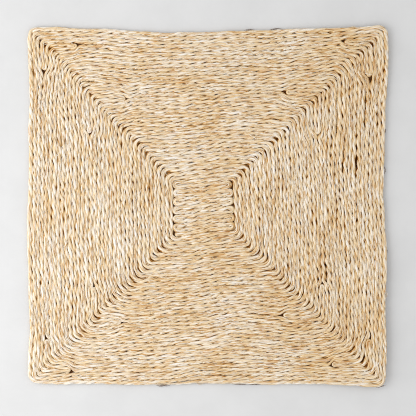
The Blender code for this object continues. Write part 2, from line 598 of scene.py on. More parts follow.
def age_at(x, y):
    """How far the leaf has browned, from about -1 to 1.5: in patches, and most in the corners at the top.
    It also carries painted sheen: the rows along the left and right sides are made paler and those
    along the top and bottom a little more tan."""
    dx, dy = x - 207, y - 207
    level = ease((np.abs(dy) - np.abs(dx) + 6) / 12)
    age = 0.45 * plane_noise(x, y, 46.0, 31) + 0.30 * plane_noise(x, y, 17.0, 32)
    age = age + 0.55 * plane_noise(x / 30.0, y / 8.0, 1.0, 33) * level
    age = age + 0.25 * plane_noise(x / 8.0, y / 30.0, 1.0, 34) * (1 - level)
    # painted sheen: rows along the top and bottom a little more tan, those along the left side much paler, those
    # along the right side a little paler
    age = age + 0.12 * level - 0.05
    age = age - 0.42 * ease((-dx - np.abs(dy) + 6) / 12)
    age = age - 0.26 * ease((dx - np.abs(dy) + 6) / 12) * (1 - 0.4 * ease((dx - 100) / 50))
    for at, reach, much in (
        ((352, 60), (46, 46), 1.1), ((52, 50), (24, 24), 0.8), ((345, 345), (40, 40), 0.6),
        ((48, 362), (44, 44), -0.6),
    ):
        age = age + much * np.exp(-(((x - at[0]) / reach[0]) ** 2) - ((y - at[1]) / reach[1]) ** 2)
    return age


def make_cord():
    plan, rings = cord_line()
    flat = to_metres(plan)
    n_rings = len(flat)
    gap = np.linalg.norm(np.diff(flat, axis=0), axis=1)
    s = np.concatenate([[0], np.cumsum(gap)])
    total = s[-1]

    lift = table_height(plan[:, 0], plan[:, 1])
    wave = Noise(11)(s / 0.021) * 0.00022 + Noise(12)(s / 0.007) * 0.00010
    middle = CORD_MIDDLE + lift + wave
    line = np.column_stack((flat, middle))

    tangent = np.gradient(line, axis=0)
    tangent /= np.linalg.norm(tangent, axis=1)[:, None]
    left = np.column_stack((-tangent[:, 1], tangent[:, 0], np.zeros(n_rings)))
    left /= np.linalg.norm(left, axis=1)[:, None]
    up = np.cross(tangent, left)

    heading = np.unwrap(np.arctan2(tangent[:, 1], tangent[:, 0]))
    curve = np.gradient(heading, s)  # positive bends to the left
    curve = np.convolve(curve, np.ones(3) / 3, "same")

    # left-handed twist, a little uneven, and slacker along the top and bottom sides and
    # towards the middle
    dx, dy = plan[:, 0] - 207, plan[:, 1] - 207
    inmost = 1 - ease((np.maximum(np.abs(dx), np.abs(dy)) - 26) / 60)
    rate = 1 - 0.10 * ease((-dy - np.abs(dx) + 6) / 12) + 0.03 * ease((dx - np.abs(dy) + 6) / 12)
    rate = rate - 0.13 * ease((dy - np.abs(dx) + 6) / 12) - 0.12 * inmost * ease((dx + 40) / 20)
    wound = np.concatenate([[0], np.cumsum(0.5 * (rate[1:] + rate[:-1]) * gap)]) / LAY - s / LAY
    wound += 0.80 * Noise(23)(s / 0.26) + 0.32 * Noise(21)(s / 0.055) + 0.11 * Noise(22)(s / 0.017)
    turn = -2 * math.pi * (s / LAY + wound)
    angles, reach = section()
    n = len(angles)
    plies = np.stack(
        [1 + 0.12 * Noise(31)(s / 0.019) + 0.06 * Noise(33)(s / 0.006),
         1 + 0.12 * Noise(32)(s / 0.017) + 0.06 * Noise(34)(s / 0.006)], 1
    )
    first = (np.cos(angles) > 1e-6).astype(float)
    second = (np.cos(angles) < -1e-6).astype(float)
    both = 1 - first - second
    scale = (
        plies[:, :1] * first + plies[:, 1:] * second + plies.mean(1, keepdims=True) * both
    )
    # the leaf strips of a ply are twisted the other way, so they lie nearly along the cord
    strip_angle = angles[None, :] + STRIP_TURN * turn[:, None]
    along = np.repeat(s[:, None] * 1000, n, 1)
    ridges = 0.085 * plane_noise(strip_angle * 2.4 / 0.95, along / 11.0, 1.0, 21)
    ridges = ridges + 0.030 * plane_noise(strip_angle * 2.4 / 0.8, along / 3.4, 1.0, 22)
    size = 1 + 0.035 * Noise(41)(s / 0.045)
    # thins out to a frayed tip at both ends
    tip = np.minimum(ease((s + 0.0010) / 0.003), ease((total - s + 0.0008) / 0.008))
    tip = np.where(s > total - 0.090, np.minimum(tip, 0.10 + 0.90 * last_run(plan[:, 0])), tip)
    radius = reach[None, :] * scale * (1 + ridges) * size[:, None] * (0.12 + 0.88 * tip[:, None])
    world = angles[None, :] + turn[:, None]
    # pressed together, the cords fill the room between them at half their height, and
    # where they stand further apart, low down
    to_left = np.cos(world) > 0
    apart, is_open = neighbours(flat, s, tangent[:, :2], left[:, :2])
    half_gap = np.where(to_left, apart[:, :1], apart[:, 1:]) * 0.5
    at_rim = np.where(to_left, is_open[:, :1], is_open[:, 1:])
    fill, foot = np.zeros_like(radius), np.zeros_like(radius)
    crest_at_side = np.abs(np.cos(turn)) ** 1.4
    straight = 1 - ease((np.abs(curve) - 15) / 50)
    # near a bend the turns stand on edge a little and the gaps between them are deeper
    even = np.arange(0, total, 0.0005)
    kernel = np.hanning(45)
    near = np.convolve(np.interp(even, s, 1 - straight), kernel / kernel.sum(), "same")
    near = np.clip(2.4 * np.interp(s, even, near), 0, 1)
    # the lower left corner is left paler: its gaps get less painted shade and its bends spread a little wider
    pale_corner = np.exp(-(((plan[:, 0] - 50) / 40) ** 2) - ((plan[:, 1] - 360) / 40) ** 2)
    near = near * (1 - ease((np.maximum(np.abs(dx), np.abs(dy)) - 166) / 5)) * (1 - 0.8 * pale_corner)
    near = near * ease((np.maximum(np.abs(dx), np.abs(dy)) - 30) / 10)
    near = near * np.clip(0.75 + 0.6 * Noise(85)(s / 0.4), 0, 1)
    # some gaps between neighbours are closed and some are open, for a way along the cord
    closed = np.zeros((n_rings, 2))
    level = ease((tangent[:, 0] ** 2 - 0.3) / 0.4)
    for k, towards in ((0, 1.0), (1, -1.0)):
        at = flat + left[:, :2] * towards * apart[:, k : k + 1] * 0.5
        at_x = (at[:, 0] + BOX_SHIFT[0]) / PIXEL + NOMINAL_CENTRE[0]
        at_y = NOMINAL_CENTRE[1] - (at[:, 1] + BOX_SHIFT[1]) / PIXEL
        flat_way = plane_noise(at_x / 24.0, at_y / 3.3, 1.0, 71)
        steep_way = plane_noise(at_x / 3.3, at_y / 24.0, 1.0, 72)
        closed[:, k] = (flat_way * level + steep_way * (1 - level)) * (1 - 0.7 * near)
    for k, seed in ((0, 51), (1, 53)):
        sway = Noise(seed)(s / 0.012) + 0.6 * Noise(seed + 1)(s / 0.006)
        # on the left and right sides the rows show as ribs with a furrow all along them
        groove_place = FILL_LOW + math.radians(11) * (1 - level)
        crest_place = FILL_HIGH - math.radians(25) * (1 - level)
        high_or_low = groove_place + (crest_place - groove_place) * crest_at_side
        high_or_low = high_or_low + math.radians(18) * (1.50 - 0.25 * level) * closed[:, k]
        high_or_low = high_or_low + math.radians(13) * level * crest_at_side * (1 - near)
        high_or_low = high_or_low - math.radians(20) * near
        for into, angle, spread in (
            (fill, high_or_low + FILL_SWAY * sway, FILL_SPREAD),
            (foot, FOOT_ANGLE + 0 * sway, FOOT_SPREAD),
        ):
            angle = (math.pi - angle if k else angle)[:, None]
            off = np.abs((world - angle + math.pi) % (2 * math.pi) - math.pi)
            np.maximum(into, np.exp(-((off / spread) ** 4)), out=into)
    # where its neighbours stand a little further off along a side, the cord is wider
    loose = half_gap / (0.5 * PITCH * PIXEL)
    loose = np.maximum(np.minimum(loose, 2.4 - loose), np.where(loose < 1, 0.84, 1.0)) - 1
    loose = 1 + loose * straight[:, None] * (1 - at_rim)
    # on the mat's rim the strips lie smooth
    at_edge = np.exp(-((np.abs(np.sin(world)) / 0.80) ** 6)) * at_rim
    fill = np.maximum(fill, at_edge)
    # and a ply's crest pushes in under its neighbour's groove, so the line between them waves
    push = 0.00070 * crest_at_side[:, None]
    outer = ease((np.maximum(np.abs(dx), np.abs(dy)) - 160) / 10)
    in_bend = (1 - straight) * (
        0.10 + 0.10 * outer + 0.09 * plane_noise(plan[:, 0], plan[:, 1], 12.0, 75)
        + 0.18 * pale_corner
    )
    reach_out = FILL_REACH * (loose + in_bend[:, None]) + 0.5 * push
    reach_out = np.minimum(half_gap - 0.00008 + push, reach_out)
    side_x = plan[:, :1] + 2.6 * np.where(to_left, 1, -1) * left[:, :1]
    side_y = plan[:, 1:] - 2.6 * np.where(to_left, 1, -1) * left[:, 1:2]
    eye = eyes(side_x, side_y)
    reach_out = reach_out + (np.minimum(reach_out, 0.0018) - reach_out) * eye
    reach_out = reach_out + (0.00226 - reach_out) * at_rim
    fill *= reach_out * tip[:, None]
    fill *= 0.90 + 0.10 * straight[:, None]
    wide = ease((half_gap - 0.00215) / 0.0003) * (1 - at_rim)
    foot *= np.minimum(half_gap + 0.0003, 0.0042) / math.cos(FOOT_ANGLE) * wide * tip[:, None]
    foot *= np.maximum(1 - 0.7 * eye, 0.05)
    top = np.abs((world - math.pi / 2 + math.pi) % (2 * math.pi) - math.pi)
    cap = CAP_REACH * np.exp(-((top / math.radians(48)) ** 4)) * tip[:, None]
    cap = cap * (1 + 0.08 * level)[:, None]
    widened = radius * np.sqrt((loose * np.cos(world)) ** 2 + np.sin(world) ** 2)
    widened = widened * (1 - 0.34 * np.clip(eye - 0.9, 0, 1) * np.abs(np.cos(world)))
    radius = (widened**10 + fill**10 + foot**10 + cap**10) ** 0.1
    side = radius * np.cos(world)
    high = radius * np.sin(world)
    high = high / (1 + (np.abs(high) / CREST) ** 6) ** (1 / 6)
    # neighbours press each other flat
    width = np.maximum(half_gap * 1.36, foot)
    side = side / (1 + (np.abs(side) / width) ** 8) ** 0.125
    # the inside of a tight bend is crowded together
    bend = 1.0 / np.maximum(np.abs(curve), 1e-6)
    limit = np.minimum(0.86 * bend, 1.0)[:, None]
    inside = side * np.sign(curve)[:, None] > 0
    squeezed = np.abs(side) / (1 + (np.abs(side) / limit) ** 6) ** (1 / 6)
    side = np.where(inside, np.sign(side) * squeezed, side)
    points = (
        line[:, None, :] + side[:, :, None] * left[:, None, :] + high[:, :, None] * up[:, None, :]
    )
    # painted shade: points lying low, in the valleys between neighbouring cords, are coloured darker brown, most in
    # the small pockets where a ply's groove meets the side
    deep = ease((0.0009 - high) / 0.0012)
    painted_pocket_shade = (1 - crest_at_side) * (0.84 + 0.50 * Noise(61)(s / 0.014) + 0.30 * Noise(62)(s / 0.005))
    open_here = np.where(to_left, closed[:, :1], closed[:, 1:])
    # how strong that painted shade is: weaker on the rows along the top and bottom, stronger along the left and
    # right sides and towards the right
    much = 1.12 - 0.58 * level * (1 - near) + 0.40 * ease((dx - 10) / 50) * (1 - level)
    much = much * (1 - 0.24 * level * (1 - near) * (1 - ease((np.abs(dy) - 50) / 70)))
    much = much * (1 - 0.55 * pale_corner)
    painted_pocket_shade = (0.10 + 0.54 * (1 - level) + (0.30 + 0.74 * level) * painted_pocket_shade)[:, None]
    # more painted shade in the gaps near a bend, less where a gap is closed
    painted_pocket_shade = painted_pocket_shade + 0.62 * near[:, None] * (1.3 - painted_pocket_shade)
    painted_pocket_shade = np.clip(painted_pocket_shade - (0.68 - 0.18 * level[:, None]) * open_here, 0, 1.3)
    deep = deep * painted_pocket_shade * much[:, None]
    # the rows along the top and bottom have strips that are a little brown all over, the leaf's own colour
    deep = np.maximum(deep, 0.16 * level[:, None])
    # painted shade, darker still, low down where neighbours stand apart, and nearly black in the eyes
    painted_low_shade = (1.5 - 0.7 * (level * (1 - near))[:, None]) * (1 - 0.5 * pale_corner[:, None])
    painted_eye_shade = np.minimum(eye, 1)
    deep = np.maximum(deep, (painted_low_shade + (2.4 - painted_low_shade) * painted_eye_shade) * ease((foot / 0.0022 - 0.20) / 0.45))
    xy = points[:, :, :2]
    px = (xy[:, :, 0] + BOX_SHIFT[0]) / PIXEL + NOMINAL_CENTRE[0]
    py = NOMINAL_CENTRE[1] - (xy[:, :, 1] + BOX_SHIFT[1]) / PIXEL
    rim = np.full(px.shape, -99.0)
    for one in "TRBL":
        along, across = (px, py) if one in "TB" else (py, px)
        rim = np.maximum(rim, (across - outer_line(one)) * OUTWARD[one] - outer_bow(one, along))
    # no painted shade on the outermost strands of the rim
    deep = deep * (1 - ease((rim + 2.2) / 1.2))
    # the painted shade is taken off the underside, between the furrows, so it is as pale as the top
    under = ease((-np.sin(world) - 0.78) / 0.16)
    deep = deep * (1 - 0.88 * under)
    # painted shade: a fine brown line along the top of the outer cord, where its strips turn down
    painted_edge_line = 0.50 + 0.22 * Noise(81)(s / 0.030) + 0.16 * Noise(82)(s / 0.009)
    painted_edge_line = np.exp(-(((rim + 1.35 + 0.5 * painted_edge_line[:, None]) / 0.36) ** 2))
    painted_edge_line = painted_edge_line * np.clip(0.70 + 0.60 * Noise(83)(s / 0.016), 0, 1.1)[:, None]
    deep = np.maximum(deep, 0.85 * painted_edge_line * (high > 0))
    # it rests flat on the table
    base = lift[:, None] + 0.00004
    z = points[:, :, 2] - base
    soft = 0.00022
    points[:, :, 2] = base + 0.5 * (z + np.sqrt(z * z + soft * soft))
    # painted shade: the cord's sides below its crest are tinted darker and browner, more along the left and right
    # sides, less at the rim and underneath
    painted_flank_shade = ease((0.0019 - high) / (0.0012 + 0.0004 * level[:, None])) * (0.90 - 0.36 * level[:, None])
    painted_flank_shade = painted_flank_shade * (1 - 0.5 * ease((rim + 1.4) / 0.8)) * (1 - 0.7 * under)
    # painted highlight: the outermost strands along the rim are made paler
    fields = {
        "deep": deep, "age": age_at(px, py) - 1.1 * ease((rim + 1.5) / 0.9), "painted_flank_shade": painted_flank_shade,
        "wound": np.repeat(wound[:, None], n, 1),
    }
    return points, s, fields, angles


def cord_piece(name, points, s, fields, first, last, angles):
    """One stretch of the cord as a closed mesh, with a map that follows the cord."""
    part = points[first : last + 1]
    rows, n = part.shape[0], part.shape[1]
    verts = part.reshape(-1, 3)
    i = np.arange(rows - 1)[:, None]
    j = np.arange(n)[None, :]
    a, b = i * n + j, i * n + (j + 1) % n
    c, d = (i + 1) * n + (j + 1) % n, (i + 1) * n + j
    quads = np.stack([a, b, c, d], 2).reshape(-1, 4)
    mesh = bpy.data.meshes.new(name)
    n_quads = len(quads)
    loops = np.concatenate([quads.reshape(-1), np.arange(n)[::-1], (rows - 1) * n + np.arange(n)])
    starts = np.concatenate([np.arange(n_quads) * 4, [n_quads * 4, n_quads * 4 + n]])
    totals = np.concatenate([np.full(n_quads, 4), [n, n]])
    mesh.vertices.add(len(verts))
    mesh.vertices.foreach_set("co", verts.astype(np.float32).reshape(-1))
    mesh.loops.add(len(loops))
    mesh.loops.foreach_set("vertex_index", loops.astype(np.int32))
    mesh.polygons.add(len(starts))
    mesh.polygons.foreach_set("loop_start", starts.astype(np.int32))
    mesh.polygons.foreach_set("loop_total", totals.astype(np.int32))
    mesh.update(calc_edges=True)

    for label, values in fields.items():
        layer = mesh.attributes.new(name=label, type="FLOAT", domain="POINT")
        layer.data.foreach_set("value", values[first : last + 1].astype(np.float32).reshape(-1))

    # the map that follows the cord: metres along it, and share of the way round it
    v_edges = np.concatenate([(angles + math.pi / 2) / (2 * math.pi), [1.0]])
    s_part = s[first : last + 1]
    u0, u1 = s_part[:-1][:, None] + 0 * j, s_part[1:][:, None] + 0 * j
    v0, v1 = v_edges[:-1][None, :] + 0 * i, v_edges[1:][None, :] + 0 * i
    uv = np.stack(
        [np.stack([u0, v0], 2), np.stack([u0, v1], 2), np.stack([u1, v1], 2), np.stack([u1, v0], 2)], 2
    ).reshape(-1, 2)
    caps = np.concatenate(
        [np.column_stack((np.full(n, s_part[0]), v_edges[:-1][::-1])),
         np.column_stack((np.full(n, s_part[-1]), v_edges[:-1]))]
    )
    layer = mesh.uv_layers.new(name="cord")
    layer.data.foreach_set("uv", np.concatenate([uv, caps]).astype(np.float32).reshape(-1))

    # the same, cut into strips that fill a square
    length = s_part[-1] - s_part[0]
    strips = max(int(round(math.sqrt(length / 0.0150))), 1)
    strip = length / strips
    mid = 0.5 * (s_part[:-1] + s_part[1:]) - s_part[0]
    which = np.minimum((mid / strip).astype(int), strips - 1)
    low, high = which / strips, (which + 1) / strips
    margin = 0.06 / strips
    su0 = (s_part[:-1] - s_part[0] - which * strip) / (strip * 1.02) + 0.008
    su1 = (s_part[1:] - s_part[0] - which * strip) / (strip * 1.02) + 0.008
    sv = lambda v: low[:, None] + margin + v * (1 / strips - 2 * margin)
    bu0, bu1 = su0[:, None] + 0 * j, su1[:, None] + 0 * j
    bv0, bv1 = sv(v_edges[:-1][None, :]), sv(v_edges[1:][None, :])
    bake = np.stack(
        [np.stack([bu0, bv0], 2), np.stack([bu0, bv1], 2), np.stack([bu1, bv1], 2), np.stack([bu1, bv0], 2)],
        2,
    ).reshape(-1, 2)
    bake_caps = np.concatenate(
        [np.column_stack((np.full(n, su0[0]), sv(v_edges[:-1][None, :])[0][::-1])),
         np.column_stack((np.full(n, su1[-1]), sv(v_edges[:-1][None, :])[-1]))]
    )
    layer = mesh.uv_layers.new(name="OFBake")
    layer.data.foreach_set("uv", np.concatenate([bake, bake_caps]).astype(np.float32).reshape(-1))
    mesh.uv_layers.active = mesh.uv_layers["cord"]
    mesh.polygons.foreach_set("use_smooth", np.ones(len(starts), bool))
    mesh.update()
    obj = bpy.data.objects.new(name, mesh)
    bpy.context.scene.collection.objects.link(obj)
    return obj


# ------------------------------------------------- loose strips, and painted shade at the bottoms of holes
def surface_height(points, cell=0.0008):
    """The height of the mat's top on a grid, from the cord's own points."""
    low = points[:, :, :2].min((0, 1)) - 0.006
    high = points[:, :, :2].max((0, 1)) + 0.006
    shape = np.ceil((high - low) / cell).astype(int) + 1
    grid = np.zeros(shape)
    ij = ((points[:, :, :2] - low) / cell).astype(int).reshape(-1, 2)
    np.maximum.at(grid, (ij[:, 0], ij[:, 1]), points[:, :, 2].reshape(-1))
    shifts = [(i, j) for i in (-1, 0, 1) for j in (-1, 0, 1)]
    grid = np.max([np.roll(grid, shift, (0, 1)) for shift in shifts], 0)
    for _ in range(2):
        grid = np.mean([np.roll(grid, shift, (0, 1)) for shift in shifts], 0)
    return low, cell, grid


def height_at(surface, xy):
    low, cell, grid = surface
    at = np.clip((xy - low) / cell - 0.5, 0, np.array(grid.shape) - 2.001)
    i = np.floor(at).astype(int)
    a, b = at[..., 0] - i[..., 0], at[..., 1] - i[..., 1]
    i, j = i[..., 0], i[..., 1]
    return (
        grid[i, j] * (1 - a) * (1 - b) + grid[i + 1, j] * a * (1 - b)
        + grid[i, j + 1] * (1 - a) * b + grid[i + 1, j + 1] * a * b
    )


class Strips:
    """Gathers thin strips of leaf, each a closed three-sided ribbon, into one mesh."""

    def __init__(self):
        self.verts, self.faces, self.deep, self.age, self.uv = [], [], [], [], []
        self.cells = []  # each corner's place in its own strip's cell of the second map
        self.count, self.number = 0, 0

    def add(self, path, width, thick, deep, age, u_start):
        """path: n points. width: the full width at each of them."""
        n = len(path)
        ahead = np.gradient(path, axis=0)
        side = np.column_stack((-ahead[:, 1], ahead[:, 0], np.zeros(n)))
        side /= np.linalg.norm(side, axis=1)[:, None]
        half = np.asarray(width)[:, None] * 0.5
        up = np.array([0, 0, 1.0])
        ring = np.stack([path + side * half, path + up * thick, path - side * half], 1)
        base = self.count
        self.verts.append(ring.reshape(-1, 3))
        length = np.concatenate([[0], np.cumsum(np.linalg.norm(np.diff(path, axis=0), axis=1))])
        u = u_start + length
        for i in range(n - 1):
            for j in range(3):
                k = (j + 1) % 3
                a, b = base + i * 3 + j, base + (i + 1) * 3 + j
                c, d = base + (i + 1) * 3 + k, base + i * 3 + k
                self.faces.append((a, d, c, b))
                v0, v1 = 0.18 + 0.05 * j, 0.23 + 0.05 * j
                self.uv += [(u[i], v0), (u[i], v1), (u[i + 1], v1), (u[i + 1], v0)]
                w0, w1 = i / (n - 1), (i + 1) / (n - 1)
                h0, h1 = j / 3, (j + 1) / 3
                cell = [(w0, h0), (w0, h1), (w1, h1), (w1, h0)]
                self.cells += [(self.number, w, h) for w, h in cell]
        last = base + (n - 1) * 3
        self.faces += [(base, base + 1, base + 2), (last + 2, last + 1, last)]
        self.uv += [(u[0], 0.2), (u[0], 0.25), (u[0], 0.3)]
        self.uv += [(u[-1], 0.3), (u[-1], 0.25), (u[-1], 0.2)]
        self.cells += [(self.number, w, h) for w, h in ((-0.04, 0), (-0.04, 0.5), (0, 0.3))]
        self.cells += [(self.number, w, h) for w, h in ((1.04, 0), (1.04, 0.5), (1, 0.3))]
        self.deep += [deep] * (3 * n)
        self.age += [age] * (3 * n)
        self.count += 3 * n
        self.number += 1

    def piece(self, name):
        mesh = bpy.data.meshes.new(name)
        mesh.from_pydata(np.concatenate(self.verts).tolist(), [], self.faces)
        for label, values in (("deep", self.deep), ("age", self.age)):
            layer = mesh.attributes.new(name=label, type="FLOAT", domain="POINT")
            layer.data.foreach_set("value", np.array(values, np.float32))
        layer = mesh.uv_layers.new(name="cord")
        layer.data.foreach_set("uv", np.array(self.uv, np.float32).reshape(-1))
        across = int(math.ceil(math.sqrt(self.number)))
        number, w, h = np.array(self.cells).T
        column, row = number % across, number // across
        layer = mesh.uv_layers.new(name="OFBake")
        bake = np.column_stack(
            ((column + 0.14 + 0.72 * w) / across, (row + 0.14 + 0.72 * h) / across)
        )
        layer.data.foreach_set("uv", bake.astype(np.float32).reshape(-1))
        mesh.uv_layers.active = mesh.uv_layers["cord"]
        mesh.update()
        obj = bpy.data.objects.new(name, mesh)
        bpy.context.scene.collection.objects.link(obj)
        return obj


def loose_strips(strips, points, s, surface):
    """Strip ends and fibres that have worked loose and lie along the top."""
    rng = np.random.default_rng(SEED * 13 + 5)
    line = smoothed(points.mean(1)[:, :2], 2)
    ahead = np.gradient(line, axis=0)
    ahead /= np.linalg.norm(ahead, axis=1)[:, None]
    for _ in range(LOOSE_STRIPS):
        row = int(rng.integers(60, len(line) - 60))
        off = math.tan(math.radians(rng.normal(2, 4.5) if rng.random() < 0.92 else rng.normal(0, 15)))
        long = rng.random() < (0.16 if abs(ahead[row, 0]) > 0.7 else 0.62)
        length = rng.uniform(0.022, 0.044) if long else rng.uniform(0.008, 0.022)
        tau = np.linspace(-0.5, 0.5, 9 if long else 6) * length
        along = s[row] + tau
        xy = np.column_stack([np.interp(along, s, line[:, i]) for i in (0, 1)])
        way = np.column_stack([np.interp(along, s, ahead[:, i]) for i in (0, 1)])
        aside = rng.uniform(-0.0021, 0.0021) + off * tau * (0.6 if long else 1.0)
        aside = aside + rng.normal(0, 2.5) * tau**2
        xy = xy + aside[:, None] * np.column_stack((-way[:, 1], way[:, 0]))
        ends = np.abs(tau) / (0.5 * length)
        z = height_at(surface, xy) + rng.uniform(-0.00020, 0.00020) - 0.0008 * ends**4
        width = rng.uniform(0.0004, 0.0009) * (1 - 0.7 * ends**3)
        plan_x = (xy[:, 0] + BOX_SHIFT[0]) / PIXEL + NOMINAL_CENTRE[0]
        plan_y = NOMINAL_CENTRE[1] - (xy[:, 1] + BOX_SHIFT[1]) / PIXEL
        if max(np.abs(plan_x - 207).max(), np.abs(plan_y - 206.9).max()) > 175.5:
            continue
        if eyes(plan_x, plan_y).max() > 0.2:
            continue
        plan_x, plan_y = plan_x.mean(), plan_y.mean()
        age = float(age_at(np.array(plan_x), np.array(plan_y))) + rng.normal(-0.5, 0.7)
        strips.add(
            np.column_stack((xy, z)), width, rng.uniform(0.00008, 0.00014),
            0.85 if rng.random() < 0.14 else 0.0, age, float(rng.uniform(0, 30)),
        )


# Strips that stand off the outer cord. Columns: side, where it starts and ends along the
# side, how far it stands out, all in pixels, and how brown it is
WISPS = (
    ("R", 164, 173, 1.1, 1.4), ("R", 126, 132, 0.4, 1.2), ("R", 82, 88, 0.3, 1.2),
    ("R", 248, 254, 0.6, 1.2), ("R", 290, 299, 1.0, 0.2), ("R", 34, 42, 0.3, 0.6),
    ("B", 155, 168, 1.6, 1.5), ("B", 158, 170, 0.9, 1.2), ("B", 230, 252, 0.5, 1.6),
    ("B", 246, 268, 0.6, 1.6), ("B", 270, 278, 0.3, 1.3), ("B", 196, 204, 0.2, 0.6),
    ("B", 84, 92, 0.5, 1.0), ("B", 374, 384, 0.4, 1.3), ("T", 377, 384, 0.3, 1.3), ("T", 246, 256, 0.7, 1.2), ("T", 269, 283, 0.4, 1.5),
    ("T", 316, 330, 0.2, 0.9), ("T", 349, 356, 0.5, 0.7),
)


def edge_wisps(strips):
    rng = np.random.default_rng(SEED * 19 + 7)
    for side, a, b, out, brown in WISPS:
        for k in range(5):
            middle, reach = 0.5 * (a + b) + rng.uniform(-2, 2), (b - a) * rng.uniform(0.35, 0.60)
            t = np.linspace(middle - reach, middle + reach, 8)
            rim = outer_line(side) + OUTWARD[side] * outer_bow(side, t)
            hump = np.sin(np.linspace(0, math.pi, 8))
            off = (out + 0.5 + 0.6) * (1 - 0.22 * k) * hump**0.7 - 0.6 + rng.normal(0, 0.17, 8)
            across = rim + OUTWARD[side] * off
            plan = np.column_stack((t, across) if side in "TB" else (across, t))
            z = 0.0024 - 0.0004 * k - 0.0006 * hump + table_height(plan[:, 0], plan[:, 1])
            strips.add(
                np.column_stack((to_metres(plan), z)), 0.00032 - 0.00018 * (1 - hump), 0.00012,
                (2.1 if k % 3 < 2 else 0.0) if brown > 1.1 else 0.0, -0.8, float(rng.uniform(0, 30)),
            )


def painted_hole_shade(strips):
    """Dark brown strips laid low down in the eyes beside the short rows' turns and in the gaps at
    both ends of the core: painted shade that darkens these holes."""
    rng = np.random.default_rng(SEED * 17 + 3)
    runs = []
    for (side, inside, at, towards, inwards), size in zip(GAPS, EYE_SIZE):
        for off in (-2.4, -0.8, 0.8, 2.4):
            a, b = at[0] - 9.5 * towards, at[0] + 3.0 * towards
            if size == 0:
                continue
            runs.append((point(side, a, at[1] + off), point(side, b, at[1] + off)))
    for x in (171.6, 173.0, 174.4, 175.8):
        for y0, y1 in ((182, 196), (194, 209), (207, 222), (220, 239)):
            runs.append(((x, y0), (x, y1)))
    for x in (228.2, 229.6, 231.0, 232.4, 233.8, 235.2):
        for y0, y1 in ((181, 196), (194, 209), (207, 222), (220, 234)):
            runs.append(((x + 0.030 * (y0 - 181), y0), (x + 0.030 * (y1 - 181), y1)))
    for a, b in runs:
        ends = to_metres(np.array([a, b], float))
        share = np.linspace(0, 1, 7)[:, None]
        xy = ends[0] + (ends[1] - ends[0]) * share + rng.normal(0, 0.00012, (7, 2))
        z = 0.00070 + rng.uniform(0, 0.0004) + rng.normal(0, 0.0001, 7)
        middle = (np.array(a) + np.array(b)) / 2
        z = z + float(table_height(np.array(middle[0]), np.array(middle[1])))
        strips.add(np.column_stack((xy, z)), np.full(7, 0.0021), 0.0003, 2.4, 0.3, float(rng.uniform(0, 30)))


# ------------------------------------------------------------------------ materials
class Nodes:
    """Short forms for building a material's nodes."""

    def __init__(self, material):
        material.use_nodes = True
        self.tree = material.node_tree
        self.tree.nodes.clear()

    def new(self, kind, **values):
        node = self.tree.nodes.new(kind)
        for name, value in values.items():
            setattr(node, name, value)
        return node

    def link(self, out, into):
        self.tree.links.new(out, into)

    def math(self, operation, a, b=None, c=None, clamp=False):
        node = self.new("ShaderNodeMath", operation=operation, use_clamp=clamp)
        for socket, value in zip(node.inputs, (a, b, c)):
            if value is None:
                continue
            if isinstance(value, (int, float)):
                socket.default_value = value
            else:
                self.link(value, socket)
        return node.outputs[0]

    def noise(self, u, v, w, detail=2.0, roughness=0.5, distortion=0.0):
        joined = self.new("ShaderNodeCombineXYZ")
        for socket, value in zip(joined.inputs, (u, v, w)):
            if isinstance(value, (int, float)):
                socket.default_value = value
            else:
                self.link(value, socket)
        node = self.new("ShaderNodeTexNoise", noise_dimensions="3D")
        node.inputs["Scale"].default_value = 1.0
        node.inputs["Detail"].default_value = detail
        node.inputs["Roughness"].default_value = roughness
        node.inputs["Distortion"].default_value = distortion
        self.link(joined.outputs[0], node.inputs["Vector"])
        return node.outputs["Fac"]

    def span(self, value, low, high, to_low=0.0, to_high=1.0):
        node = self.new("ShaderNodeMapRange", clamp=True)
        node.interpolation_type = "SMOOTHSTEP"
        self.link(value, node.inputs["Value"])
        for name, number in zip(("From Min", "From Max", "To Min", "To Max"), (low, high, to_low, to_high)):
            node.inputs[name].default_value = number
        return node.outputs["Result"]

    def mix(self, factor, a, b, blend="MIX"):
        node = self.new("ShaderNodeMix", data_type="RGBA", blend_type=blend)
        for socket, value in zip((node.inputs[0], node.inputs[6], node.inputs[7]), (factor, a, b)):
            if isinstance(value, (int, float)):
                socket.default_value = value
            elif isinstance(value, tuple):
                socket.default_value = (*value, 1.0)
            else:
                self.link(value, socket)
        return node.outputs[2]


